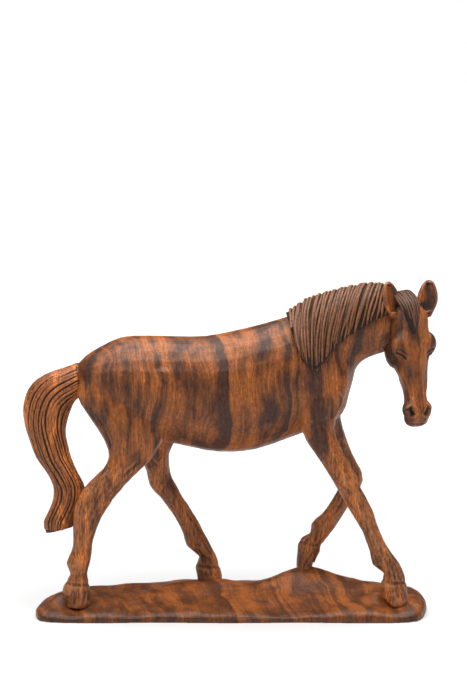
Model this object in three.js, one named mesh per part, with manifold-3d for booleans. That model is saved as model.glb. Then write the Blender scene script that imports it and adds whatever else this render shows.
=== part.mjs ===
// A walking horse carved together with its plinth, divided into its carved regions.
// Millimetres. +X is the way the horse walks, +Y its left side, +Z up.
// The origin is the middle of the plinth's flat underside.
//
// The horse is drawn as ribs: a rib is one cross-section of a limb, given by a point on the front
// (or top) outline, a point on the back (or under) outline, a half-width and a sideways offset.
import * as THREE from 'three';
import { mergeVertices } from 'three/addons/utils/BufferGeometryUtils.js';
import Module from 'manifold-3d';

const wasm = await Module();
wasm.setup();

// ---- Driving dimensions -------------------------------------------------------------------
const BODY_LENGTH = 202; // buttock to breast
const WITHERS_HEIGHT = 212; // withers above the plinth's ground line
const STANCE_WIDTH = 48; // left to right, between the middles of the hooves
const PLINTH_THICKNESS = 11; // underside to ground line
const PLINTH_BACK_MARGIN = 22; // plinth left over behind, in front of and beside the hooves
const PLINTH_FRONT_MARGIN = 10;
const PLINTH_SIDE_MARGIN = 10;
const PLINTH_EDGE_SHARE = 0.93; // where the top starts to roll over, as a share of the outline
const FORE_MOUND_RISE = 16; // ground under the left fore hoof
const HIND_MOUND_RISE = 6; // ground under the left hind hoof
const LIMB_GIRTH = 1; // thickness of the legs' ribs, side to side
const HEAD_LENGTH = 86; // brow line between the ears down to the lips
const EAR_LENGTH = 25;
const EAR_WIDTH = 14.8;
const EAR_RIM = 1.3; // wood left round the hollow of an ear
const MANE_THICKNESS = 3.4;
const FORELOCK_THICKNESS = 2.4;
const TAIL_THICKNESS = 19;
const GAP = 0.3; // between neighbouring regions

// The size at which the ribs below are drawn.
const DRAWN = { length: 202, height: 212, stance: 48, ground: 11, head: 88 };
const STRETCH = {
  x: BODY_LENGTH / DRAWN.length,
  y: STANCE_WIDTH / DRAWN.stance,
  z: WITHERS_HEIGHT / DRAWN.height,
};

const vec = (x, y, z) => new THREE.Vector3(x, y, z);

// A drawn point in the finished figure: the legs, trunk and neck stretch from the ground line.
const place = (x, y, z) =>
  vec(x * STRETCH.x, y * STRETCH.y, PLINTH_THICKNESS + (z - DRAWN.ground) * STRETCH.z);

// ---- Solids -------------------------------------------------------------------------------
function toSolid(geometry) {
  geometry.deleteAttribute('normal');
  geometry.deleteAttribute('uv');
  const merged = mergeVertices(geometry, 1e-4);
  return new wasm.Manifold(new wasm.Mesh({
    numProp: 3,
    vertProperties: new Float32Array(merged.attributes.position.array),
    triVerts: new Uint32Array(merged.index.array),
  }));
}

function toGeometry(solid) {
  const mesh = solid.getMesh();
  const geometry = new THREE.BufferGeometry();
  geometry.setAttribute('position', new THREE.BufferAttribute(mesh.vertProperties, 3));
  geometry.setIndex(new THREE.BufferAttribute(mesh.triVerts, 1));
  geometry.computeVertexNormals();
  return geometry;
}

const join = (...solids) => solids.reduce((all, one) => all.add(one));
const cutAway = (solid, ...tools) => tools.reduce((left, tool) => left.subtract(tool), solid);

// A cut can leave a loose chip at an edge: the region is the largest body.
const largest = (solid) => solid.decompose().sort((a, b) => b.volume() - a.volume())[0];

// Keeps the side of a plane that its normal points to, set back by half a gap.
function keepBeyond(solid, point, normal) {
  const n = normal.clone().normalize();
  return solid.trimByPlane(n.toArray(), n.dot(point) + GAP / 2);
}

// One drawn rib: [front x, front z, back x, back z, half-width, y, squareness].
const rib = ([fx, fz, bx, bz, half, y = 0, square = 2]) => ({
  front: place(fx, y, fz),
  back: place(bx, y, bz),
  half,
  square,
});

// Keeps the sign, and takes rounding noise at the seam of a circle as nought.
const power = (value, exponent) =>
  Math.abs(value) < 1e-9 ? 0 : Math.sign(value) * Math.abs(value) ** exponent;

// A tube through a list of ribs. A squareness of 2 is an ellipse, and more is boxier.
// grow thickens the tube all round, which makes the room that a neighbour is cut back to.
function loft(ribs, { grow = 0, around = 16, steps = 2 } = {}) {
  const fronts = new THREE.CatmullRomCurve3(ribs.map((r) => r.front));
  const backs = new THREE.CatmullRomCurve3(ribs.map((r) => r.back));
  const sizes = new THREE.CatmullRomCurve3(ribs.map((r) => vec(r.half, r.square, 0)));
  const middle = (u) => fronts.getPoint(u).add(backs.getPoint(u)).multiplyScalar(0.5);
  const rows = (ribs.length - 1) * steps;
  const nudge = 0.5 / rows;
  const geometry = new THREE.CylinderGeometry(1, 1, 1, around, rows);
  const position = geometry.attributes.position;
  const local = new THREE.Vector3();
  for (let i = 0; i < position.count; i++) {
    local.fromBufferAttribute(position, i);
    const u = Math.round((0.5 - local.y) * rows) / rows;
    const { x: half, y: square } = sizes.getPoint(u);
    const along = middle(Math.min(1, u + nudge)).sub(middle(Math.max(0, u - nudge)));
    const depth = fronts.getPoint(u).sub(backs.getPoint(u));
    const deep = depth.length() / 2 + grow;
    depth.normalize();
    const side = depth.clone().cross(along).normalize();
    const point = middle(u)
      .addScaledVector(depth, power(local.z, 2 / square) * deep)
      .addScaledVector(side, power(local.x, 2 / square) * (half + grow));
    position.setXYZ(i, point.x, point.y, point.z);
  }
  return toSolid(geometry);
}

// An egg-shaped muscle or brow: its middle, its three directions and its size along each.
function egg(middle, axes, radii, grow = 0) {
  const geometry = new THREE.SphereGeometry(1, 16, 10);
  const basis = new THREE.Matrix4().makeBasis(...axes);
  const size = new THREE.Matrix4().makeScale(...radii.map((r) => r + grow));
  geometry.applyMatrix4(basis.multiply(size)).translate(middle.x, middle.y, middle.z);
  return toSolid(geometry);
}

// ---- Trunk and legs -----------------------------------------------------------------------
const TRUNK = [
  [-115, 180, -111, 163, 6],
  [-108, 188.5, -107, 150, 17],
  [-98, 195.5, -99, 139, 23.5],
  [-82, 202, -82, 131, 27.5],
  [-62, 204, -62, 126, 29],
  [-42, 203, -42, 124.5, 27.5, 0, 2.1],
  [-20, 203.5, -20, 120, 29, 0, 2.15],
  [0, 207, 0, 118.5, 30, 0, 2.15],
  [18, 211.5, 18, 121, 29.5, 0, 2.1],
  [36, 217, 36, 127, 28],
  [50, 221, 50, 132, 26],
  [64, 220, 64, 137, 25],
  [76, 207, 76, 143, 22],
  [83, 194, 82, 152, 16],
  [87, 181, 85, 164, 7],
].map(rib);

// The first ribs of a leg lie inside the trunk; `upper`, `middle` and `hoof` give the ribs at
// which the leg is divided.
const LEGS = {
  hind_right: {
    upper: 4,
    middle: 7,
    hoof: 13,
    ribs: [
      [-54, 172, -107, 180, 11, -11],
      [-50, 150, -113.5, 163, 14.5, -13],
      [-50.5, 133, -106, 149, 15.5, -14],
      [-56, 121.5, -93.5, 129, 13.5, -16],
      [-64, 111.5, -90.5, 117.5, 11.5, -17.5],
      [-75, 101.5, -95, 109, 10, -19.5],
      [-85.5, 90, -104, 100.5, 9, -21.5],
      [-93, 79.5, -113.5, 88, 8.8, -23],
      [-98.5, 69, -116.5, 74, 8.2, -24],
      [-102, 58, -116.5, 59, 7.3, -24.5],
      [-103.5, 47.5, -118, 48, 7.2, -24.5],
      [-105, 39.5, -121.5, 40, 8, -25],
      [-107, 32, -119, 32, 7, -25],
      [-105.5, 25, -122.5, 25, 8.2, -25],
      [-104.5, 17, -125, 19.5, 9, -25],
      [-104, 8, -121.5, 9, 9, -25],
      [-104, 2, -120, 2, 9, -25],
    ],
  },
  hind_left: {
    upper: 4,
    middle: 6,
    hoof: 12,
    ribs: [
      [-50, 172, -105, 178, 11, 11],
      [-42, 150, -108, 160, 14.5, 13],
      [-40, 134, -96, 142, 15, 14.5],
      [-43.5, 123, -78, 124, 12.5, 16.5],
      [-47.5, 113, -68.5, 110, 10.8, 18.5],
      [-48, 103, -64.5, 98, 9.5, 20],
      [-45.5, 93, -62.5, 88.5, 9, 21],
      [-39, 80, -54, 77, 8, 22],
      [-31, 66.5, -44.5, 63.5, 7.2, 22.5],
      [-23.5, 53, -37.5, 50, 7, 23],
      [-17.5, 41.5, -34.5, 40.5, 7.8, 23],
      [-13.5, 33.5, -25.5, 32.5, 6.8, 23],
      [-11, 25.5, -28, 26, 8.2, 23],
      [-9, 17, -27, 18, 9, 23],
      [-8.5, 7, -26.5, 7, 9, 23],
    ],
  },
  fore_right: {
    upper: 4,
    middle: 7,
    hoof: 13,
    ribs: [
      [84, 186, 46, 180, 8, -13.5],
      [82, 167, 47, 159, 10, -16],
      [76.5, 151, 47.5, 143, 10.5, -17.5],
      [72.5, 139, 52, 132, 10, -19.5],
      [76.5, 127.5, 59, 121, 9, -20.5],
      [84, 112.5, 69, 106, 8.4, -21.5],
      [91.5, 97.5, 77.5, 92, 8, -22.5],
      [98.5, 84, 84.5, 79, 7.9, -23],
      [102.5, 74, 90, 70.5, 7.3, -23.5],
      [106.5, 63.5, 95.5, 60, 6.7, -24],
      [112, 52.5, 99, 49, 6.9, -24],
      [118.5, 43, 101.5, 39.5, 7.6, -24],
      [123.5, 34, 110, 32, 7.2, -24],
      [126, 26.5, 108.5, 26, 8.4, -24],
      [127, 17, 108.5, 18.5, 9, -24],
      [127.5, 8, 116.5, 9, 8.6, -24],
      [127.5, 2, 121.5, 2, 7.6, -24],
    ],
  },
  fore_left: {
    upper: 4,
    middle: 7,
    hoof: 13,
    ribs: [
      [84, 186, 46, 180, 8, 13.5],
      [83, 167, 48, 159, 10, 16],
      [80, 151, 52, 143, 10.5, 17.5],
      [79, 138.5, 58, 132, 10, 19.5],
      [82.5, 127, 65, 120.5, 9, 20.5],
      [88.5, 110.5, 73, 105, 8.3, 22],
      [94.5, 100, 79.5, 97, 8, 22.5],
      [97, 91, 81, 91, 7.8, 23],
      [91.5, 80, 79, 86, 7, 23],
      [85, 69.5, 74, 76, 6.6, 23],
      [78.5, 59, 67, 65.5, 6.8, 23],
      [72.5, 49.5, 58.5, 57.5, 7.5, 23],
      [67, 43, 57.5, 50, 6.8, 23],
      [64.5, 38.5, 50, 45.5, 8.2, 23],
      [61.5, 33, 48, 36, 9, 23],
      [59, 26, 47.5, 27, 8.7, 23],
      [58, 16, 47.5, 17, 8.5, 23],
    ],
  },
};

const legRibs = (leg) =>
  leg.ribs.map(([fx, fz, bx, bz, half, y]) => rib([fx, fz, bx, bz, half * LIMB_GIRTH, y]));

// The plane of a rib, with its normal along the limb towards the hoof.
function ribPlane(ribs, index) {
  const { front, back } = ribs[index];
  const point = front.clone().add(back).multiplyScalar(0.5);
  const normal = front.clone().sub(back).cross(vec(0, 1, 0));
  const before = ribs[index - 1];
  const along = point.clone().sub(before.front.clone().add(before.back).multiplyScalar(0.5));
  return { point, normal: normal.multiplyScalar(Math.sign(normal.dot(along))) };
}

function between(solid, above, below) {
  const lower = above ? keepBeyond(solid, above.point, above.normal) : solid;
  return below ? keepBeyond(lower, below.point, below.normal.clone().negate()) : lower;
}

// ---- Head ---------------------------------------------------------------------------------
// The head has axes of its own: down the face, out of the face, and to the horse's left.
// It turns to the right of the horse, and its nose is carried a little forward.
const HEAD_YAW = THREE.MathUtils.degToRad(15);
const HEAD_PITCH = THREE.MathUtils.degToRad(12);
const facing = vec(Math.sin(HEAD_YAW), -Math.cos(HEAD_YAW), 0);
const faceDown = vec(0, 0, -Math.cos(HEAD_PITCH)).addScaledVector(facing, Math.sin(HEAD_PITCH));
const faceOut = vec(0, 0, Math.sin(HEAD_PITCH)).addScaledVector(facing, Math.cos(HEAD_PITCH));
const faceLeft = vec(Math.cos(HEAD_YAW), Math.sin(HEAD_YAW), 0);
const HEAD_SCALE = HEAD_LENGTH / DRAWN.head;
const brow = place(129, -29, 229.5);

const onHead = (down, out, left = 0) => brow.clone()
  .addScaledVector(faceDown, down * HEAD_SCALE)
  .addScaledVector(faceOut, out * HEAD_SCALE)
  .addScaledVector(faceLeft, left * HEAD_SCALE);

// [face line down, out, jaw line down, out, half-width, squareness]
const HEAD = [
  [-5, -15, -2, -25, 6.5, 2],
  [-3.5, -8, 5, -31, 11.5, 2.2],
  [2, -1.5, 15, -35, 14, 2.3],
  [12, 2, 25, -38, 14.8, 2.4],
  [23, 3.5, 34, -38, 14.4, 2.5],
  [34, 2.8, 42, -33, 12.8, 2.5],
  [45, 1, 51, -25.5, 10.3, 2.4],
  [55, -0.3, 60, -20.5, 8.4, 2.3],
  [65, -0.7, 68, -18, 8, 2.2],
  [73, -0.6, 76, -17.2, 9, 2.2],
  [79, -1.6, 82, -17, 9.2, 2.2],
  [84, -4, 86, -15.5, 7.2, 2.1],
  [86.5, -7.5, 87.5, -12.5, 3.8, 2],
].map(([fd, fo, jd, jo, half, square]) => ({
  front: onHead(fd, fo),
  back: onHead(jd, jo),
  half: half * HEAD_SCALE,
  square,
}));

function headSolid(grow = 0) {
  const axes = [faceOut, faceLeft, faceDown.clone().negate()];
  const pair = (down, out, left, radii) => [-1, 1].map((side) =>
    egg(onHead(down, out, side * left), axes, radii.map((r) => r * HEAD_SCALE), grow));
  return join(
    loft(HEAD, { grow, around: 24 }),
    ...pair(27, -7, 8.4, [8.5, 9, 10.5]), // brows
    ...pair(31, -21, 6.4, [13.5, 10.4, 14.5]), // cheeks
    ...pair(75, -7.6, 3.6, [7, 7, 8]), // nostril wings
  );
}

// ---- Neck ---------------------------------------------------------------------------------
const NECK = [
  [38, 216, 72, 143, 24],
  [54, 227, 85, 162, 21.5, -0.5],
  [69, 232.5, 88.5, 179, 18.5, -2],
  [83, 236.5, 93, 186, 16.3, -4.5],
  [95, 239, 99, 190, 14.6, -7.5],
  [106, 240, 106.5, 193, 13, -10.5],
  [115, 237, 113.5, 196, 11, -13],
  [122, 230, 120, 204, 8, -15],
].map(rib);

// ---- Ears ---------------------------------------------------------------------------------
// [height up the ear as a share of its length, half-width as a share, half-thickness]
const EAR = [
  [-0.06, 0.5, 3.2],
  [0.1, 0.76, 3.8],
  [0.3, 1, 3.9],
  [0.55, 0.98, 3.3],
  [0.76, 0.8, 2.6],
  [0.92, 0.5, 1.7],
  [1, 0.2, 0.7],
];
const EAR_SPLAY = 0.16; // outward lean, sideways per unit of height

function earSolid(side, grow = 0) {
  const root = onHead(5.5, -9.5, side * 11.8);
  const up = faceDown.clone().negate().addScaledVector(faceLeft, side * EAR_SPLAY).normalize();
  const across = faceLeft.clone().addScaledVector(faceOut, side * 0.35).normalize();
  const ribsOf = (shrink, out) => EAR.map(([share, wide, thick]) => {
    const middle = root.clone().addScaledVector(up, share * EAR_LENGTH);
    middle.addScaledVector(faceOut, out * thick);
    const halfWide = Math.max(0.3, (wide * EAR_WIDTH) / 2 - shrink);
    return {
      front: middle.clone().addScaledVector(across, halfWide),
      back: middle.clone().addScaledVector(across, -halfWide),
      half: Math.max(0.3, thick - shrink / 2),
      square: 2,
    };
  });
  const leaf = loft(ribsOf(0, 0), { grow, around: 14 });
  if (grow > 0) return leaf;
  return leaf.subtract(loft(ribsOf(EAR_RIM, 0.85).slice(1, -1), { around: 12 }));
}

// ---- Tail, mane and forelock --------------------------------------------------------------
const TAIL = [
  [-102, 190, -103, 164, 0.8, 0],
  [-113, 184, -111.5, 160, 0.9, 0],
  [-124, 180, -115, 158, 0.95, -1],
  [-137, 175.5, -118, 154, 1, -2],
  [-148, 167, -120.5, 148, 1, -3],
  [-153, 152, -122.5, 141, 1, -4],
  [-152, 139, -123.5, 133.5, 1, -5],
  [-148.5, 127, -122, 124.5, 1, -6],
  [-144, 115, -119, 114, 0.95, -7.5],
  [-136.5, 105, -114.5, 103.5, 0.9, -9.5],
  [-131.5, 95, -109.5, 94, 0.87, -11],
  [-131.5, 84.5, -111, 85, 0.85, -12],
  [-135, 75.5, -115, 76, 0.85, -13],
  [-138.5, 68, -117.5, 70, 0.85, -13.5],
  [-137.5, 60, -118, 65, 0.8, -14],
].map(([fx, fz, bx, bz, share, y]) => rib([fx, fz, bx, bz, (share * TAIL_THICKNESS) / 2, y]));

// The space the mane hangs in, on the right of the crest: the crest above, the lock ends below.
const MANE_REACH = 20; // half the width of that space
const MANE_OVER_CREST = 3; // how far the mane laps over to the left
const MANE = [
  [37, 224, 43, 209, 0],
  [48, 234, 50, 190, 0],
  [60, 240, 59.5, 184, -0.5],
  [72, 243, 69.5, 194, -2],
  [84, 245, 81, 206, -5],
  [96, 247, 93, 215, -8.5],
  [105, 248, 102, 220, -11.5],
  [113, 248, 111, 224, -14],
].map(([fx, fz, bx, bz, y]) => {
  const drawn = rib([fx, fz, bx, bz, MANE_REACH, y, 6]);
  drawn.front.y += MANE_OVER_CREST - MANE_REACH;
  drawn.back.y += MANE_OVER_CREST - MANE_REACH;
  return drawn;
});

// [down the face, out, to the left, half-width]
const FORELOCK = [
  [-11.5, -22, -6.5, 7.5],
  [-12, -14, -6, 8],
  [-9, -6.5, -4.5, 8],
  [-2.5, -0.5, -3, 7.2],
  [5, 1.4, -2.2, 5.6],
  [12, 2.6, -2, 3.6],
  [17.5, 3.4, -2, 1],
].map(([down, out, left, half]) => ({
  front: onHead(down, out, left).addScaledVector(faceOut, FORELOCK_THICKNESS),
  back: onHead(down + 3, out - 4, left),
  half: half * HEAD_SCALE,
  square: 2,
}));

// ---- Plinth -------------------------------------------------------------------------------
const hoofSpots = Object.fromEntries(Object.entries(LEGS).map(([name, leg]) => {
  const [fx, , bx, , , y] = leg.ribs[leg.hoof + 2];
  return [name, place((fx + bx) / 2, y, DRAWN.ground)];
}));
const HOOF_HALF_LENGTH = 10;
const HOOF_HALF_WIDTH = 9;
const spots = Object.values(hoofSpots);
const plinthBack = Math.min(...spots.map((s) => s.x)) - HOOF_HALF_LENGTH - PLINTH_BACK_MARGIN;
const plinthFront = Math.max(...spots.map((s) => s.x)) + HOOF_HALF_LENGTH + PLINTH_FRONT_MARGIN;
const plinthHalfDepth = Math.max(...spots.map((s) => Math.abs(s.y))) + HOOF_HALF_WIDTH + PLINTH_SIDE_MARGIN;
const plinthMiddle = (plinthFront + plinthBack) / 2;
const plinthHalfLength = (plinthFront - plinthBack) / 2;

// Seen from above, in shares of half the length and half the depth, turning left from the front.
const OUTLINE = new THREE.CatmullRomCurve3([
  [1, -0.3], [0.985, 0.25], [0.9, 0.74], [0.68, 0.95], [0.36, 1], [0.02, 0.97],
  [-0.3, 0.88], [-0.62, 0.72], [-0.86, 0.5], [-0.96, 0.1], [-1, -0.42], [-0.97, -0.88],
  [-0.78, -1], [-0.4, -0.97], [0, -1], [0.35, -0.97], [0.68, -1], [0.94, -0.9],
].map(([x, y]) => vec(x * plinthHalfLength, y * plinthHalfDepth, 0)), true);

const bump = (x, y, at, reachX, reachY) =>
  Math.exp(-(((x - at.x) / reachX) ** 2) - ((y - at.y) / reachY) ** 2);

// Height of the ground over the plinth's underside.
function ground(x, y) {
  const { fore_left: fore, hind_left: hind } = hoofSpots;
  return PLINTH_THICKNESS
    + FORE_MOUND_RISE * bump(x, y, vec(fore.x + 2, fore.y - 6, 0), 27, 22)
    + HIND_MOUND_RISE * bump(x, y, vec(hind.x - 2, hind.y - 8, 0), 40, 24)
    + 4 * bump(x, y, vec(fore.x + 42, 8, 0), 28, 24)
    - 3.4 * Math.exp(-(((y - plinthHalfDepth) / 24) ** 2))
    - 2.6 * bump(x, y, vec(plinthBack, 0, 0), 20, 60)
    - 3 * bump(x, y, vec(fore.x - 12, -plinthHalfDepth, 0), 24, 22)
    + 1.5 * bump(x, y, vec(fore.x + 38, -plinthHalfDepth, 0), 20, 18)
    - 1.5 * bump(x, y, vec(hoofSpots.hind_right.x + 55, -plinthHalfDepth, 0), 26, 18);
}

// [share of the way out to the outline, share of the ground height]
const PLINTH_PROFILE = [
  [0, 0], [0.5, 0], [0.985, 0], [1, 0.12], [1.004, 0.4], [1, 0.66], [0.985, 0.86],
  [0.96, 0.97], [PLINTH_EDGE_SHARE, 1], [0.84, 1], [0.7, 1], [0.54, 1], [0.36, 1], [0.18, 1], [0, 1],
];

function plinthSolid(grow = 0) {
  const profile = PLINTH_PROFILE.map(([out, up]) => new THREE.Vector2(out, up));
  const geometry = new THREE.LatheGeometry(profile, 72);
  const position = geometry.attributes.position;
  for (let i = 0; i < position.count; i++) {
    const share = Math.hypot(position.getX(i), position.getZ(i));
    const turn = Math.atan2(position.getX(i), position.getZ(i)) / (2 * Math.PI);
    const up = position.getY(i);
    const edge = OUTLINE.getPoint((turn + 1) % 1);
    const x = plinthMiddle + edge.x * share;
    const y = edge.y * share;
    position.setXYZ(i, x, y, up > 0 ? up * ground(x, y) + grow : 0);
  }
  return toSolid(geometry);
}

// ---- Regions ------------------------------------------------------------------------------
const regions = {};

const planes = {};
const limbs = {};
for (const [name, leg] of Object.entries(LEGS)) {
  const ribs = legRibs(leg);
  limbs[name] = (options) => loft(ribs, options);
  planes[name] = {
    upper: ribPlane(ribs, leg.upper),
    middle: ribPlane(ribs, leg.middle),
    hoof: ribPlane(ribs, leg.hoof),
  };
}

// Everything above the legs' first cuts, as one mass.
function mass(grow = 0) {
  const tops = Object.keys(LEGS).map((name) => between(limbs[name]({ grow }), null, planes[name].upper));
  return join(loft(TRUNK, { grow, around: 28 }), ...tops, loft(NECK, { grow, around: 24 }));
}

const LOIN = { point: place(-44, 0, 165), normal: vec(1, 0, 0) };
const GIRTH = { point: place(38, 0, 170), normal: vec(1, 0, 0) };
const COLLAR = { point: place(69, 0, 198), normal: vec(0.86, 0, 0.51) };

const whole = mass();
const head = headSolid();
const neckSide = keepBeyond(whole, COLLAR.point, COLLAR.normal);
const trunkSide = between(whole, null, COLLAR);
regions.hindquarters = between(trunkSide, null, LOIN);
regions.barrel = between(trunkSide, LOIN, GIRTH);
regions.forequarters = between(trunkSide, GIRTH, null);
const ears = join(earSolid(-1, GAP), earSolid(1, GAP));
regions.neck = cutAway(neckSide, headSolid(GAP), ears);
regions.head = head;
for (const [name, side] of [['ear_right', -1], ['ear_left', 1]]) {
  regions[name] = cutAway(earSolid(side), headSolid(GAP));
}

const plinth = plinthSolid();
for (const [name, { upper, middle, hoof }] of Object.entries(planes)) {
  const limb = limbs[name]();
  const upperName = name.startsWith('hind') ? 'gaskin' : 'forearm';
  regions[`${upperName}_${name}`] = between(limb, upper, middle);
  regions[`cannon_${name}`] = between(limb, middle, hoof);
  regions[`hoof_${name}`] = cutAway(between(limb, hoof, null), plinthSolid(GAP));
}
regions.plinth = plinth;

const lock = (grow) => loft(FORELOCK, { grow, around: 14 });
regions.forelock = largest(cutAway(lock(0), headSolid(GAP), mass(GAP), ears));
const maneShell = mass(MANE_THICKNESS).intersect(loft(MANE, { around: 16 }));
regions.mane = largest(cutAway(maneShell, mass(GAP), headSolid(GAP), ears, lock(GAP)));
regions.tail = largest(cutAway(loft(TAIL), mass(GAP), limbs.hind_right({ grow: GAP })));

// ---- The figure ---------------------------------------------------------------------------
const wood = (colour, roughness) =>
  new THREE.MeshStandardMaterial({ color: colour, roughness, metalness: 0 });
const figured = wood(0x8a4a24, 0.4);
const stained = wood(0x5e3018, 0.5);
const hair = new Set(['mane', 'forelock', 'tail']);

const figure = new THREE.Group();
for (const [name, solid] of Object.entries(regions)) {
  const mesh = new THREE.Mesh(toGeometry(solid), hair.has(name) ? stained : figured);
  mesh.name = name;
  figure.add(mesh);
}

export default figure;
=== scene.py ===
import math

import bmesh
import bpy
import numpy as np
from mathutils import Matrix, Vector
from mathutils.bvhtree import BVHTree


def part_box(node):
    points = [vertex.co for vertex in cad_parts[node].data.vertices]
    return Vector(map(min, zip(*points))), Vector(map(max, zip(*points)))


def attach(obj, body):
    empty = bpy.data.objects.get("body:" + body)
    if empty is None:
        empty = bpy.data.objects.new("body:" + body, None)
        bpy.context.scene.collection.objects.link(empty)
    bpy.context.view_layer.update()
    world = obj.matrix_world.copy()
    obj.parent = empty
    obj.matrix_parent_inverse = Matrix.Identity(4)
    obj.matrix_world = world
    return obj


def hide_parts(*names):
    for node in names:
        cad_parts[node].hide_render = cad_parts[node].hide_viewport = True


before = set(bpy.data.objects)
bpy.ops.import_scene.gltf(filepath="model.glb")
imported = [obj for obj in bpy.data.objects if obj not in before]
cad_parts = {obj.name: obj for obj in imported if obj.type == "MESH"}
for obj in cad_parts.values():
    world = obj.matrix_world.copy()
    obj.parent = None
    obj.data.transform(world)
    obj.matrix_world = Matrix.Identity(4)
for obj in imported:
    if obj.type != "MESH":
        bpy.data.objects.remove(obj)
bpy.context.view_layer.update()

MM = 0.001
BODY_VOXEL = 0.85 * MM
HEAD_VOXEL = 0.5 * MM
HAIR_VOXEL = 0.42 * MM
PLINTH_VOXEL = 1.2 * MM
WELD = 1e-6  # vertices nearer than this are one, in metres
# How far each region swells, which closes the gaps of the frame.
JOINT_FILL, HEAD_FILL, HAIR_FILL = 0.24 * MM, 0.16 * MM, 0.05 * MM
RIGHT, LEFT = -1, 1  # the sides of the horse along Y
# How far off the middle lines are cast from, in millimetres.
CLEAR_OF_FLANK, CLEAR_OF_PLINTH, CLEAR_OF_NECK = 90, 80, 70
CLEAR_OF_FACE, CLEAR_OF_CHEEK, BEHIND_FACE = 60, 50, -30
LINE_SPACING, FINE_SPACING = 1.2, 0.6  # between the points of a line on the body, on the head
SPRING_BACK = 1.04  # how much of each sanding step is given back, so that nothing shrinks
CUT_REACH, SWELL_REACH = 2.5, 2.2  # how many widths off a cut or a swelling still shows
WAVES = 9  # ripples that are laid over each other where a blade wavers

LIMBS = {
    "fore_right": ("forearm", "cannon", "hoof"),
    "fore_left": ("forearm", "cannon", "hoof"),
    "hind_right": ("gaskin", "cannon", "hoof"),
    "hind_left": ("gaskin", "cannon", "hoof"),
}
TRUNK = ["hindquarters", "barrel", "forequarters", "neck"]
LEG_REGIONS = [f"{part}_{leg}" for leg, parts in LIMBS.items() for part in parts]
HOOVES = [name for name in LEG_REGIONS if name.startswith("hoof")]
chance = np.random.default_rng(12)


# ---- Skins ----------------------------------------------------------------------------------
def placed(name, data):
    """An object in the scene that holds this mesh, curve, lamp or camera."""
    thing = bpy.data.objects.new(name, data)
    bpy.context.scene.collection.objects.link(thing)
    return thing


def settled(thing):
    """The mesh that an object comes to with its modifiers or its bevel, in its place."""
    mesh = bpy.data.meshes.new_from_object(
        thing.evaluated_get(bpy.context.evaluated_depsgraph_get())
    )
    bpy.data.objects.remove(thing)
    return mesh


def corners_of(region):
    """The low and the high corner of a region of the frame, in millimetres."""
    return [np.array(corner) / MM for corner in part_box(region)]


def rough_skin(names, voxel, swell=JOINT_FILL, locks=None):
    """One closed skin round some regions of the frame, and round any locks of hair on them."""
    gathered = bmesh.new()
    for name in names:
        region = bmesh.new()
        region.from_mesh(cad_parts[name].data)
        bmesh.ops.remove_doubles(region, verts=region.verts, dist=WELD)
        region.normal_update()
        for vert in region.verts:
            vert.co += vert.normal * swell
        mesh = bpy.data.meshes.new(name)
        region.to_mesh(mesh)
        region.free()
        gathered.from_mesh(mesh)
        bpy.data.meshes.remove(mesh)
    if locks:
        gathered.from_mesh(locks)
    mesh = bpy.data.meshes.new("rough")
    gathered.to_mesh(mesh)
    gathered.free()
    block = placed("rough", mesh)
    fuse = block.modifiers.new("fuse", "REMESH")
    fuse.mode = "VOXEL"
    fuse.voxel_size = voxel
    return settled(block)


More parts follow.
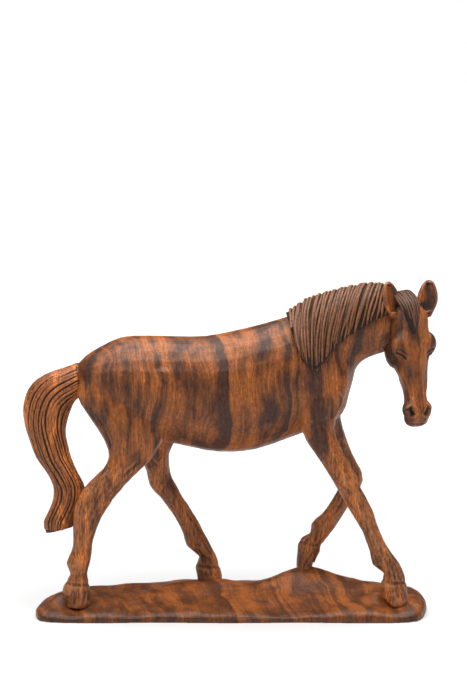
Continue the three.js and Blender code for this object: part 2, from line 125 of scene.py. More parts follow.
class Carving:
    """A skin held as arrays in millimetres, so that cuts and swellings can be worked into it."""

    def __init__(self, mesh):
        self.mesh = mesh
        count = len(mesh.vertices)
        self.at = np.empty(count * 3)
        mesh.vertices.foreach_get("co", self.at)
        self.at = self.at.reshape(-1, 3) / MM
        ends = np.empty(len(mesh.edges) * 2, np.int32)
        mesh.edges.foreach_get("vertices", ends)
        self.ends = ends.reshape(-1, 2)
        corners = np.empty(len(mesh.loops), np.int32)
        mesh.loops.foreach_get("vertex_index", corners)
        self.faces = corners.reshape(-1, 4)  # a rough skin has four corners to every face
        self.valence = np.bincount(ends, minlength=count)[:, None]
        self.shade_and_stain = np.zeros(count)  # how dark the surface is painted: painted shade in hollows, cuts and grooves, and a darker tone on the hair
        self.edge_highlight = np.zeros(count)  # how strongly a painted highlight lightens a ridge or an edge
        self.look()

    def look(self):
        """Brings the mesh, the way out of its surface and the search tree up to date."""
        self.mesh.vertices.foreach_set("co", (self.at * MM).ravel())
        self.mesh.update()
        out = np.empty(len(self.at) * 3)
        self.mesh.vertex_normals.foreach_get("vector", out)
        self.out = out.reshape(-1, 3)
        self.tree = BVHTree.FromPolygons(self.at.tolist(), self.faces.tolist())

    def averaged(self, values):
        """The mean of each vertex's neighbours."""
        values = values.reshape(len(self.at), -1)
        a, b = self.ends.T
        total = np.stack(
            [
                np.bincount(a, column[b], len(values)) + np.bincount(b, column[a], len(values))
                for column in values.T
            ],
            1,
        )
        return total / self.valence

    def smooth(self, times, amount=0.5, where=None):
        """Sands the skin, without shrinking it."""
        share = np.ones(len(self.at)) if where is None else where
        for _ in range(times):
            for step in (amount, -amount * SPRING_BACK):
                self.at += (self.averaged(self.at) - self.at) * (step * share)[:, None]

    def hollows(self, spread):
        """How far each vertex lies in a hollow, measured against its smoothed surroundings."""
        far = self.at.copy()
        for _ in range(spread):
            far = self.averaged(far)
        return ((far - self.at) * self.out).sum(1)

    def push(self, amount):
        """Moves the surface outwards, by one amount or by one for each vertex."""
        self.at += self.out * np.broadcast_to(amount, len(self.at))[:, None]

    def cast(self, start, towards):
        """The first point that is met on the way from start, or None."""
        start, towards = Vector(start), Vector(towards)
        hit = self.tree.ray_cast(start, (towards - start).normalized())
        return None if hit[0] is None else np.array(hit[0])

    def nearest(self, point):
        """The point of the surface that is nearest to this one."""
        return np.array(self.tree.find_nearest(Vector(point))[0])

    def from_side(self, points, side):
        """A line drawn on one side of the horse by its (x, z) points, laid on the surface."""
        line = resampled(np.array([(x, 0, z) for x, z in points], float), LINE_SPACING)
        laid = []
        for x, _, z in line:
            hit = self.cast((x, side * CLEAR_OF_FLANK, z), (x, 0, z))
            if hit is not None:
                laid.append(hit)
        return np.array(laid)

    def reach(self, line, radius):
        """The vertices within a radius of a line: which, how far off, and how far along it."""
        low, high = line.min(0) - radius, line.max(0) + radius
        which = np.flatnonzero(((self.at > low) & (self.at < high)).all(1))
        points = self.at[which]
        best = np.full(len(which), np.inf)
        along = np.zeros(len(which))
        for i, (a, b) in enumerate(zip(line[:-1], line[1:])):
            step = b - a
            t = np.clip(((points - a) @ step) / max(step @ step, 1e-9), 0, 1)
            off = np.linalg.norm(points - (a + t[:, None] * step), axis=1)
            nearer = off < best
            best[nearer] = off[nearer]
            along[nearer] = (i + t[nearer]) / (len(line) - 1)
        near = best < radius
        return which[near], best[near], along[near]

    def cut(self, line, width, depth, shade_and_stain=0.0, fade=0.18):
        """A groove along a line, or a ridge where the depth is negative, dying out at its ends."""
        if len(line) < 2:
            return
        which, off, along = self.reach(line, width * CUT_REACH)
        ends = np.clip(np.minimum(along, 1 - along) / fade, 0, 1) if fade else 1
        strength = np.exp(-((off / width) ** 2)) * ends
        self.at[which] -= self.out[which] * (strength * depth)[:, None]
        # painted shade along the groove
        self.shade_and_stain[which] = np.maximum(self.shade_and_stain[which], strength * shade_and_stain)

    def swell(self, centre, radius, height, shade_and_stain=0.0):
        """A round swelling, or a hollow where the height is negative."""
        which, off, _ = self.reach(np.array([centre, centre]), radius * SWELL_REACH)
        strength = np.exp(-((off / radius) ** 2))
        self.at[which] += self.out[which] * (strength * height)[:, None]
        # painted shade on the swelling or in the hollow, where it is asked for
        self.shade_and_stain[which] = np.maximum(self.shade_and_stain[which], strength * shade_and_stain)

    def waver(self, size, amount, where=None):
        """The slight unevenness that a hand-held blade leaves."""
        total = np.zeros(len(self.at))
        for _ in range(WAVES):
            way = chance.normal(size=3)
            way *= 2 * math.pi / (size * chance.uniform(0.7, 1.5)) / np.linalg.norm(way)
            total += np.sin(self.at @ way + chance.uniform(0, 2 * math.pi))
        self.push(total / 3 * amount * (1 if where is None else where))


def resampled(line, spacing):
    """The same line with evenly spaced points."""
    steps = np.linalg.norm(np.diff(line, axis=0), axis=1)
    run = np.concatenate([[0], np.cumsum(steps)])
    count = max(2, int(run[-1] / spacing) + 1)
    marks = np.linspace(0, run[-1], count)
    return np.stack([np.interp(marks, run, column) for column in line.T], 1)


def curved(line, count):
    """A smooth curve through a few points."""
    line = np.array(line, float)
    padded = np.concatenate([[2 * line[0] - line[1]], line, [2 * line[-1] - line[-2]]])
    points = []
    for s in np.linspace(0, len(line) - 1, count):
        i = min(int(s), len(line) - 2)
        t = s - i
        a, b, c, d = padded[i : i + 4]
        bend = (2 * a - 5 * b + 4 * c - d) * t**2 + (3 * b - a - 3 * c + d) * t**3
        points.append(b + 0.5 * ((c - a) * t + bend))
    return np.array(points)


# ---- The horse's body -----------------------------------------------------------------------
LEG_TOP, LEG_FADE = 128, 20  # the chisel's marks show below this height, and fade in over this
POINTS_PER_LINE = 12

body = Carving(rough_skin(TRUNK + LEG_REGIONS, BODY_VOXEL))
body.smooth(6)
body.look()
leg_share = np.clip((LEG_TOP - body.at[:, 2]) / LEG_FADE, 0, 1)

# Lines cut into each side: their (x, z) points, then width, depth and how dark the painted shade in
# them is.
RIGHT_LINES = [
    ([(-101, 151), (-94, 140), (-90, 130), (-89.5, 121)], 1.5, 0.9, 0.5),  # split of the ham
    ([(-97, 157), (-91, 145), (-86.5, 132), (-86, 122)], 3.2, -0.5, 0),
    ([(-45.5, 129), (-49, 140), (-52, 152)], 4.5, 1.1, 0.15),  # fold of the flank
    ([(-46, 128), (-55.6, 123), (-64, 113)], 1.8, 0.5, 0.3),
    ([(-61, 199), (-57.4, 191), (-56.5, 184)], 3.4, -0.7, 0),  # point of the hip
    ([(-53, 199), (-50, 191), (-51.5, 182)], 4.5, 0.8, 0.1),
    ([(-72, 175), (-63, 160), (-59, 146)], 7.0, 0.5, 0),
    ([(-66, 116), (-75, 109.5), (-82, 103)], 1.7, 0.8, 0.4),  # tendons of the gaskin
    ([(-62, 113), (-71, 106), (-81, 96)], 1.6, 0.5, 0.3),
    ([(-101, 95), (-98, 104), (-91, 112)], 1.8, 0.6, 0.3),
    ([(50, 132), (55.6, 140.5), (59, 144.2), (63.5, 145.4), (71, 144)], 2.0, 0.9, 0.1),
    ([(54, 142), (58, 149), (63.5, 152), (70, 151)], 6.0, -0.4, 0),  # shoulder over the leg
    ([(74.5, 169), (78.5, 161.5), (77, 155), (70, 144)], 1.3, -0.8, 0),  # edge of the breast
    ([(70.5, 165), (72, 154), (69.2, 146)], 2.0, 0.9, 0.3),
    ([(85.5, 193), (80, 184), (75, 172)], 3.5, 0.7, 0.1),  # jugular groove
    ([(46, 197), (45, 178), (42, 160), (41, 143)], 5.0, 0.55, 0.05),  # behind the shoulder
    ([(76, 128), (86, 108), (95, 88)], 1.5, 0.45, 0.2),  # forearm
    ([(100, 70), (106, 56)], 1.5, 0.4, 0.25),
    ([(-106, 73), (-110, 58), (-112, 46)], 1.6, 0.5, 0.3),  # tendons behind the cannon
]
LEFT_LINES = [
    ([(-96, 150), (-88, 138), (-80, 126)], 1.6, 0.9, 0.5),
    ([(-41, 131), (-46, 142), (-49, 154)], 4.5, 1.1, 0.15),
    ([(-61, 199), (-57.4, 191), (-56.5, 184)], 3.4, -0.7, 0),
    ([(-53, 199), (-50, 191), (-51.5, 182)], 4.5, 0.8, 0.1),
    ([(-72, 175), (-63, 160), (-59, 146)], 7.0, 0.5, 0),
    ([(55, 133), (61, 143), (66, 147), (72, 147), (79, 143)], 2.0, 1.3, 0.12),
    ([(58, 144), (63, 151), (70, 153.5), (76, 151)], 5.0, -0.7, 0),
    ([(79, 166), (81, 158), (79, 150)], 1.3, -0.7, 0),
    ([(89, 196), (83, 185), (78, 172)], 3.5, 0.7, 0.1),
    ([(46, 197), (45, 178), (42, 160), (41, 143)], 5.0, 0.55, 0.05),
    ([(80, 125), (86, 112), (90, 100)], 1.5, 0.45, 0.2),
    ([(-58, 100), (-52, 88), (-42, 72)], 1.6, 0.5, 0.3),
]
for side, lines in ((RIGHT, RIGHT_LINES), (LEFT, LEFT_LINES)):
    for points, width, depth, shade_and_stain in lines:
        laid = body.from_side(curved(points, POINTS_PER_LINE), side)
        body.cut(laid, width, depth, shade_and_stain)

# Muscles and joints that swell from each side: (x, z), radius and height.
RIGHT_MUSCLES = [
    ((59.5, 161), 9, 1.9),  # point of the shoulder
    ((52, 186), 14, 0.9),
    ((-78, 178), 17, 1.0),  # croup and thigh
    ((-70, 150), 16, 0.9),
    ((-106, 92), 6, 0.8),  # hock
    ((101, 78), 5.5, 0.6),  # knee
    ((110, 45), 5, 0.5),  # fetlocks
    ((-112, 41), 5, 0.6),
    ((-4, 150), 34, 0.8),  # barrel
    ((-121, 22), 4.5, 1.5),  # heels
    ((110, 24), 4.5, 1.4),
]
LEFT_MUSCLES = [
    ((63, 162), 9, 1.8),
    ((52, 186), 14, 0.9),
    ((-78, 178), 17, 1.0),
    ((-66, 152), 16, 0.9),
    ((-57, 92), 5.5, 0.7),
    ((90, 95), 5.5, 0.7),
    ((66, 54), 5, 0.5),
    ((-26, 42), 5, 0.5),
    ((-4, 150), 34, 0.8),
    ((-26, 24), 4, 1.4),
    ((52, 38), 4, 1.1),
]
for side, muscles in ((RIGHT, RIGHT_MUSCLES), (LEFT, LEFT_MUSCLES)):
    for (x, z), radius, height in muscles:
        centre = body.cast((x, side * CLEAR_OF_FLANK, z), (x, 0, z))
        if centre is not None:
            body.swell(centre, radius, height)
body.look()

# The hooves stand a little in the plinth, and a step runs round each at the coronet.
BOX_MARGIN = 0.6
SOLE_FACES_DOWN, SOLE_SINKS = -0.35, 3.0
soles = np.zeros(len(body.at), bool)
for hoof in HOOVES:
    low, high = corners_of(hoof)
    soles |= ((body.at > low - BOX_MARGIN) & (body.at < high + BOX_MARGIN)).all(1)
soles &= body.out[:, 2] < SOLE_FACES_DOWN
body.at[soles, 2] -= SOLE_SINKS

# The back and the front of each coronet, as (x, z).
CORONET_HALF_WIDTH, CORONET_CLEAR = 11, 2.2
CORONETS = {
    "hoof_hind_right": ((-123.5, 26.5), (-104.5, 24.5)),
    "hoof_hind_left": ((-28.5, 26.5), (-10.5, 25)),
    "hoof_fore_right": ((107.5, 27.5), (126, 26)),
    "hoof_fore_left": ((49, 44.5), (66.5, 41.5)),
}
for hoof, ((back_x, back_z), (front_x, front_z)) in CORONETS.items():
    low, high = corners_of(hoof)
    heart = np.array([(back_x + front_x) / 2, (low[1] + high[1]) / 2, (back_z + front_z) / 2])
    ring = []
    for turn in np.linspace(0, 2 * math.pi, 25):
        way = np.array(
            [
                math.cos(turn) * (front_x - back_x) / 2,
                math.sin(turn) * CORONET_HALF_WIDTH,
                math.cos(turn) * (front_z - back_z) / 2,
            ]
        )
        hit = body.cast(heart + way * CORONET_CLEAR, heart)
        if hit is not None:
            ring.append(hit)
    # the step round the coronet is darkened with painted shade
    body.cut(np.array(ring), 1.3, 0.6, 0.35, fade=0)
body.look()

# Chisel strokes run down each leg: so many on its upper part, its cannon and its hoof.
STROKES = (45, 60, 8)
STROKE_WIDTH, STROKE_FADE, STROKE_SWERVE = 0.75, 0.45, 0.12
for leg, parts in LIMBS.items():
    boxes = [corners_of(f"{part}_{leg}") for part in parts]
    middles = [(low + high) / 2 for low, high in boxes]
    for step, (low, high) in enumerate(boxes):
        way = middles[min(step + 1, 2)] - middles[min(step, 1)]
        way /= np.linalg.norm(way)
        candidates = np.flatnonzero(((body.at > low) & (body.at < high)).all(1))
        for start in chance.choice(candidates, STROKES[step], replace=False):
            reach = chance.uniform(4, 11)
            turned = way + chance.normal(size=3) * STROKE_SWERVE
            marks = [
                body.nearest(body.at[start] + turned * reach * t) for t in (-1, -0.5, 0, 0.5, 1)
            ]
            # each stroke's groove is darkened with painted shade
            depth, shade_and_stain = chance.uniform(0.25, 0.6), chance.uniform(0.0, 0.5)
            body.cut(np.array(marks), STROKE_WIDTH, depth, shade_and_stain, STROKE_FADE)
body.waver(9, 0.16, leg_share)
body.waver(26, 0.22)
body.smooth(1)
body.look()
# painted shade: the hollows of the body are darkened
body.shade_and_stain = np.clip(body.shade_and_stain + np.clip(body.hollows(14) - 0.12, 0, 1) * 0.9, 0, 1)
# painted highlight: the ridges are lightened, most on the legs
body.edge_highlight = np.clip(-body.hollows(5) * (3 + 3 * leg_share) - 0.3, 0, 0.8)

# ---- The head -------------------------------------------------------------------------------
# The head is drawn on axes of its own: down the face, out of it, and to the horse's left. It is
# drawn 88 mm long and carved 86 mm long.
HEAD_SIZE = 86 / 88
BROW = np.array([129.0, -29.0, 229.5])
YAW, PITCH = math.radians(15), math.radians(12)
FACING = np.array([math.sin(YAW), -math.cos(YAW), 0])
FACE_DOWN = FACING * math.sin(PITCH) - np.array([0, 0, math.cos(PITCH)])
FACE_OUT = FACING * math.cos(PITCH) + np.array([0, 0, math.sin(PITCH)])
FACE_LEFT = np.array([math.cos(YAW), math.sin(YAW), 0])


def on_head(down, out, left):
    """A point that is given on the head's own axes, in those of the frame."""
    return BROW + (FACE_DOWN * down + FACE_OUT * out + FACE_LEFT * left) * HEAD_SIZE


def laid_on_head(rays):
    """The line of the points where rays from outside first meet the head."""
    hits = [head.cast(start, towards) for start, towards in rays]
    return resampled(np.array([hit for hit in hits if hit is not None]), FINE_SPACING)


def on_face(points):
    """(down, left) points seen from the front, laid on the face."""
    return laid_on_head(
        [
            (on_head(down, CLEAR_OF_FACE, left), on_head(down, BEHIND_FACE, left))
            for down, left in points
        ]
    )


def on_eye(points, side):
    """(down, left) points round an eye, where the face turns back into the side of the head."""
    guess = [on_head(down, 2.8 - 8 * (left / 14.4) ** 4, side * left) for down, left in points]
    return resampled(np.array([head.nearest(point) for point in guess]), FINE_SPACING)


def on_cheek(points, side):
    """(down, out) points seen from one side of the head, laid on the cheek."""
    return laid_on_head(
        [
            (on_head(down, out, side * CLEAR_OF_CHEEK), on_head(down, out, 0))
            for down, out in points
        ]
    )


HEAD_REGIONS = ["head", "ear_right", "ear_left"]
head = Carving(rough_skin(HEAD_REGIONS, HEAD_VOXEL, swell=HEAD_FILL))
head_axes = np.stack([FACE_DOWN, FACE_OUT, FACE_LEFT]) / HEAD_SIZE
in_head = (head.at - BROW) @ head_axes.T
ear_share = np.clip((2 - in_head[:, 0]) / 4, 0, 1) * (np.abs(in_head[:, 2]) > 6)
head.smooth(14, where=1 - 0.75 * ear_share)
head.look()
RIGHT_BROW, BROW_WIDTH, BROW_WEAR = (26, -5, -12), 10, 240
near_brow = np.exp(-((np.linalg.norm(in_head - RIGHT_BROW, axis=1) / BROW_WIDTH) ** 2))
for _ in range(BROW_WEAR):  # the brow on the right is worn flat
    head.at += (head.averaged(head.at) - head.at) * (0.6 * near_brow)[:, None]
head.look()

for side in (RIGHT, LEFT):
    for radius, height, shade_and_stain in ((5.5, -1.2, 0.3), (3.4, 1.0, 0)):  # the socket, darkened with painted shade, then the eye
        head.swell(head.nearest(on_head(35.2, -3.0, side * 13.4)), radius, height, shade_and_stain)
        head.look()
    # the lid, the slit and the pouch under the eye are darkened with painted shade
    lid = [(31.0, 14.8), (30.4, 13.4), (31.4, 11.6), (34.0, 9.9), (37.4, 8.8)]
    head.cut(on_eye(lid, side), 0.8, 0.7, 0.35)
    slit = [(33.0, 15.0), (33.8, 14.0), (35.6, 12.6), (37.6, 11.2), (39.0, 10.2)]
    head.cut(on_eye(slit, side), 1.15, 1.3, 1.0, 0.1)
    pouch = [(36.2, 14.8), (38.4, 13.4), (40.4, 11.8)]
    head.cut(on_eye(pouch, side), 0.8, 0.45, 0.35)
    # the temple's hollow, the cheek's edge and the bone that runs down from the eye; the hollow,
    # the edge and the groove beside the bone get a little painted shade
    head.swell(head.nearest(on_head(15, -6, side * 15)), 4.5, -0.7, 0.1)
    jowl = [(24, -31), (34, -31.5), (43, -27), (49, -20), (50, -13)]
    head.cut(on_cheek(jowl, side), 2.2, 0.7, 0.2)
    crest = [(41, 12.2), (48, 10.2), (56, 8.0), (63, 6.6)]
    head.cut(on_face([(down, side * left) for down, left in crest]), 1.8, -0.75)
    beside = [(43, 7.4), (52, 6.0), (62, 4.8), (69, 4.6)]
    head.cut(on_face([(down, side * left) for down, left in beside]), 1.7, 0.65, 0.15)
    # the nostril: its wing is raised, and the hole is sunk into it in a comma that is filled with
    # painted shade
    head.swell(head.nearest(on_head(74.5, -2, side * 7)), 4.2, 0.7)
    head.look()
    comma = [(72.6, 8.2), (75.4, 7.2), (78.4, 5.6), (80.2, 4.2)]
    comma = on_face([(down, side * left) for down, left in comma])
    head.cut(comma, 3.3, -0.7, fade=0)
    head.cut(comma, 2.4, 4.0, 1.0, fade=0.1)
head.look()
# the parting of the lips, the corners of the mouth and the line down the nose are darkened with
# painted shade
lips = [(83.2, -8.6), (84.6, -6.4), (85.4, -3.2), (85.6, 0), (85.4, 3.2), (84.6, 6.4), (83.2, 8.6)]
head.cut(on_face(lips), 0.7, 0.6, 0.35, fade=0.1)
for side in (RIGHT, LEFT):
    mouth_corner = [(83.2, -5.5), (82.2, -9), (80.6, -12.5)]
    head.cut(on_cheek(mouth_corner, side), 0.7, 0.6, 0.4)
head.swell(head.nearest(on_head(79.5, 3, 0)), 3.6, 0.5)  # tip of the nose
head.cut(on_face([(72, 0), (81, 0)]), 1.0, 0.35, 0.2)
head.smooth(1, 0.4)
head.waver(14, 0.12)
head.look()
# painted shade: small hollows, deep recesses and the cups of the ears are darkened
sunk = np.clip(head.hollows(10) - 0.06, 0, 1)
deep = np.clip(head.hollows(60) - 0.35, 0, 2)
cupped = np.clip(head.hollows(70) * 1.5 - 0.1, 0, 0.95) * ear_share
head.shade_and_stain = np.clip(head.shade_and_stain + sunk * 1.1 + deep * 0.5 + cupped, 0, 1)
# painted highlight: the head's ridges are lightened
head.edge_highlight = np.clip(-head.hollows(5) * 3 - 0.2, 0, 0.8)

# ---- Hair -----------------------------------------------------------------------------------
def strands(paths):
    """Tapering strands, each a list of points in millimetres and one radius for every point."""
    sweep = bpy.data.curves.new("strands", "CURVE")
    sweep.dimensions = "3D"
    sweep.bevel_depth = MM
    sweep.bevel_resolution = 2
    sweep.use_fill_caps = True
    for points, radii in paths:
        spline = sweep.splines.new("POLY")
        spline.points.add(len(points) - 1)
        flat = np.concatenate([np.array(points) * MM, np.ones((len(points), 1))], 1)
        spline.points.foreach_set("co", flat.ravel())
        spline.points.foreach_set("radius", radii)
    return settled(placed("strands", sweep))


def taper(count, thick, tip=0.35):
    """Radii of a strand that is thinner where it starts and runs out to a point."""
    u = np.linspace(0, 1, count)
    shaft = np.interp(u, [0, 0.12, 1], [0.7, 1, 0.9])
    return thick * np.minimum(shaft, np.interp(u, [0.8, 1], [1, tip]))


def hair(regions, paths, base, shade_height, ground):
    """Strands fused with the region that they lie on. The grooves between the strands are painted
    with shade, up to the height of the shade_height over the base; the ground is the least
    darkening, a darker tone over the whole hair."""
    cut = Carving(rough_skin(regions, HAIR_VOXEL, swell=HAIR_FILL, locks=strands(paths)))
    cut.smooth(1, 0.35)
    cut.look()
    depth = np.array([base.tree.find_nearest(Vector(p))[3] for p in cut.at.tolist()])
    hollows = cut.hollows(3) * 5
    # painted shade in the grooves between the strands, then the ground's darker tone over the whole
    # hair
    cut.shade_and_stain = np.clip(np.clip(1 - depth / shade_height, 0, 1) + np.clip(hollows, -0.4, 0.7), 0, 1)
    cut.shade_and_stain = ground + cut.shade_and_stain * (1 - ground)
    # painted highlight on the tops of the strands
    cut.edge_highlight = np.clip(depth / 0.9 - 0.35, 0, 1) * np.clip(-hollows * 1.5 + 0.2, 0, 1)
    return cut


# The mane hangs on the right: strands start just over the crest and lean back as they fall. Its
# edge is given as (x, z), and the lean as x at the crest and at the edge.
NECK_MIDDLE = np.array(
    [(40, 0, 194), (55, -0.5, 203), (69, -2, 210), (83, -4.5, 214), (95, -7.5, 218),
     (106, -10.5, 220), (116, -13, 221)],
    float,
)
MANE_EDGE = np.array(
    [(42, 210), (46, 198), (50, 190), (55, 185.5), (59.5, 183.5), (64, 186), (69.5, 193), (81, 205),
     (93, 214), (102, 219.5), (112, 224)],
    float,
)
LEAN_FROM = [42, 47.6, 54.3, 63.6, 71.6, 80.9, 87.5, 102.2, 116]
LEAN_TO = [44, 47.8, 51.6, 56.5, 61.5, 67.5, 73.5, 88, 109]
MANE_POINTS = 26
MANE_DROP = 22  # how much higher a strand would end if it had no length
neck_skin = Carving(rough_skin(["neck", "forequarters", "barrel", "mane"], BODY_VOXEL))


def neck_middle(x):
    """The point of the neck's middle line at this x."""
    return np.array([x, *(np.interp(x, NECK_MIDDLE[:, 0], NECK_MIDDLE[:, k]) for k in (1, 2))])


def neck_hit(x, turn):
    """A point of the neck's surface: turn is 0 at the crest and 90 degrees level on the right."""
    middle = neck_middle(x)
    way = np.array([0, -math.sin(turn), math.cos(turn)])
    return neck_skin.cast(middle + way * CLEAR_OF_NECK, middle)


def mane_strand(start, length, lift, thick):
    """A strand from the crest at x = start down to the mane's edge, or short of it."""
    end = np.interp(start, LEAN_FROM, LEAN_TO)
    edge = np.interp(end, MANE_EDGE[:, 0], MANE_EDGE[:, 1]) + (1 - length) * MANE_DROP
    last = math.radians(30)
    while last < math.radians(150) and neck_hit(end, last)[2] > edge:
        last += math.radians(2)
    bow = np.interp(start, [42, 60, 80, 116], [-2.5, -4.5, -2.5, -1])
    first = math.radians(-13 + chance.uniform(-4, 3))
    points = []
    for u in np.linspace(0, 1, MANE_POINTS):
        x = start + (end - start) * u**1.15 + bow * math.sin(math.pi * u)
        hit = neck_hit(x, first + (last - first) * u)
        out = hit - neck_middle(x)
        wave = 0.35 * math.sin(u * 9 + start * 1.7)
        points.append(hit + out / np.linalg.norm(out) * lift + np.array([wave, 0, 0]))
    return points, taper(MANE_POINTS, thick)


STRAND_SPACING, SHORT_STRANDS = 2.35, 12
mane_paths = []
for start in np.arange(43, 116, STRAND_SPACING):
    start += chance.uniform(-0.35, 0.35)
    length, lift = chance.uniform(0.9, 1.08), chance.uniform(-0.1, 0.7)
    mane_paths.append(mane_strand(start, length, lift, 1.05))
for start in chance.uniform(44, 114, SHORT_STRANDS):
    mane_paths.append(mane_strand(start, chance.uniform(0.5, 0.95), 0.9, 0.85))
mane = hair(["mane"], mane_paths, neck_skin, 1.0, 0.4)

# The tail's strands run from the dock to the tip, round its middle line. Across it, the tail is
# an oval with these two half-widths.
TAIL_POINTS, TAIL_STRANDS = 60, 52
TAIL_DEEP, TAIL_WIDE = 13, 9.5
TAIL_MIDDLE = curved(
    [(-108, 0, 175), (-114, 0, 172), (-120, -1, 169), (-127.5, -2, 164.8), (-134.3, -3, 157.5),
     (-137.8, -4, 146.5), (-137.8, -5, 136.3), (-135.3, -6, 125.8), (-131.5, -7.5, 114.5),
     (-125.5, -9.5, 104.3), (-120.8, -11, 94.5), (-121.3, -12, 84.8), (-125, -13, 75.8),
     (-128, -13.5, 69), (-128.2, -14, 63)],
    TAIL_POINTS,
)
tail_skin = Carving(rough_skin(["tail"], HAIR_VOXEL * 2))
along_tail = np.gradient(TAIL_MIDDLE, axis=0)
along_tail /= np.linalg.norm(along_tail, axis=1)[:, None]
tail_out = np.cross(along_tail, (0, 1, 0))
tail_out /= np.linalg.norm(tail_out, axis=1)[:, None]
tail_paths = []
for turn in np.arange(0, 2 * math.pi, 2 * math.pi / TAIL_STRANDS):
    turn += chance.uniform(-0.03, 0.03)
    drift, phase = chance.uniform(0.02, 0.07), chance.uniform(0, 6)
    lift = chance.uniform(-0.15, 0.3)
    points, radii = [], []
    for k in range(1, TAIL_POINTS):
        angle = turn + drift * math.sin(k / 9 + phase)
        side = np.cross(tail_out[k], along_tail[k])
        way = tail_out[k] * math.cos(angle) * TAIL_DEEP + side * math.sin(angle) * TAIL_WIDE
        hit = tail_skin.cast(TAIL_MIDDLE[k] + way * 3, TAIL_MIDDLE[k])
        if hit is None:
            continue
        points.append(hit + way / np.linalg.norm(way) * lift)
        swing = math.hypot(TAIL_DEEP * math.sin(angle), TAIL_WIDE * math.cos(angle))
        swing /= np.linalg.norm(way)
        room = swing * np.linalg.norm(hit - TAIL_MIDDLE[k]) * math.pi / TAIL_STRANDS
        radii.append(min(1.1, max(0.5, room * 0.95)))
    tail_paths.append((points, radii))
tail = hair(["tail"], tail_paths, tail_skin, 0.45, 0.0)

# The forelock falls from the poll, between the ears, to a point on the forehead. Its run is given
# on the head's axes, with half its width.
FORELOCK_POINTS, FORELOCK_STRANDS = 24, 9
FORELOCK_RUN = curved(
    [(-11.5, -21, -6.5, 7.2), (-12, -13, -6, 7.6), (-8.5, -5.5, -4.5, 7.6), (-2, 1, -3, 6.8),
     (5.5, 3.6, -2.2, 5.2), (12, 5, -2, 3.4), (18.5, 5.4, -2, 1.2)],
    FORELOCK_POINTS,
)
forelock_skin = Carving(rough_skin(["forelock"], HAIR_VOXEL))
forelock_paths = []
for share in np.linspace(-1, 1, FORELOCK_STRANDS):
    share += chance.uniform(-0.03, 0.03)
    last = int(FORELOCK_POINTS - 7 * abs(share) + chance.uniform(-1, 1))
    points = []
    for k, (down, out, left, half) in enumerate(FORELOCK_RUN[:last]):
        sway = 0.25 * math.sin(k * 0.6 + share * 9)
        guess = on_head(down, out - 2.0 * share**2, left + share * half + sway)
        points.append(forelock_skin.nearest(guess))
    forelock_paths.append((points, taper(len(points), 0.95, tip=0.4)))
forelock = hair(["forelock"], forelock_paths, forelock_skin, 1.0, 0.45)

# ---- The plinth -----------------------------------------------------------------------------
plinth = Carving(rough_skin(["plinth"], PLINTH_VOXEL, swell=0))
above = np.clip((plinth.at[:, 2] - 3) / 5, 0, 1)
near = np.clip((-plinth.at[:, 1] - 14) / 30, 0, 1)
plinth.at[:, 2] -= 4.2 * near**1.7 * above  # the top falls away on the near side
plinth.look()
top_share = np.clip(plinth.out[:, 2], 0, 1)
underside = plinth.out[:, 2] < -0.7
flank_share = (plinth.at[:, 2] > 1.2) * 1.0
rim = np.clip(1 - np.abs(plinth.out[:, 2] - 0.5) / 0.5, 0, 1)
RIM_SPREAD, RIM_WEAR = 40, 100
for _ in range(RIM_SPREAD):
    rim = np.maximum(plinth.averaged(rim)[:, 0], rim * 0.9)
wear_and_highlight = (0.5 * flank_share * np.clip(rim, 0, 1))[:, None]
for _ in range(RIM_WEAR):  # the rim is worn round
    plinth.at += (plinth.averaged(plinth.at) - plinth.at) * wear_and_highlight
plinth.look()
plinth.waver(34, 0.5, top_share)
plinth.waver(16, 0.22, flank_share)
plinth.waver(7, 0.09, flank_share)
for start, end in ((84, 27), (93, 25), (104, 22)):  # long shallow scoops in front of the mound, with a little painted shade in them
    scoop = [(start - 6, 4), (start, 14), (start + 3, end)]
    laid = [plinth.cast((x, y, CLEAR_OF_PLINTH), (x, y, 0)) for x, y in scoop]
    plinth.cut(np.array(laid), 2.4, 0.5, 0.1)
plinth.look()
# the wood rises round the heels, and falls away under the toes on the near side
for (x, y), radius, height in (
    ((105, -20), 7, 5.0), ((116, -34), 8, -2.0), ((-127, -18), 7, 5.0), ((-114, -34), 8, -2.4),
):
    centre = plinth.cast((x, y, CLEAR_OF_PLINTH), (x, y, 0))
    if centre is not None:
        plinth.swell(centre, radius, height)
plinth.look()
plinth.at[underside, 2] = 0
plinth.at[:, 2] = np.maximum(plinth.at[:, 2], 0)
plinth.look()
# painted shade in the plinth's hollows
plinth.shade_and_stain = np.clip(plinth.hollows(10) * 1.2, 0, 0.4)


# ---- Finishes -------------------------------------------------------------------------------
class Wire:
    """A socket of a finish, which can stand in sums."""

    def __init__(self, finish, socket):
        self.finish, self.socket = finish, socket

    def worked(self, operation, *values):
        return self.finish.add("ShaderNodeMath", {"operation": operation}, *values)

    def __add__(self, other):
        return self.worked("ADD", self, other)

    def __sub__(self, other):
        return self.worked("SUBTRACT", self, other)

    def __rsub__(self, other):
        return self.worked("SUBTRACT", other, self)

    def __mul__(self, other):
        return self.worked("MULTIPLY", self, other)

    __radd__, __rmul__ = __add__, __mul__


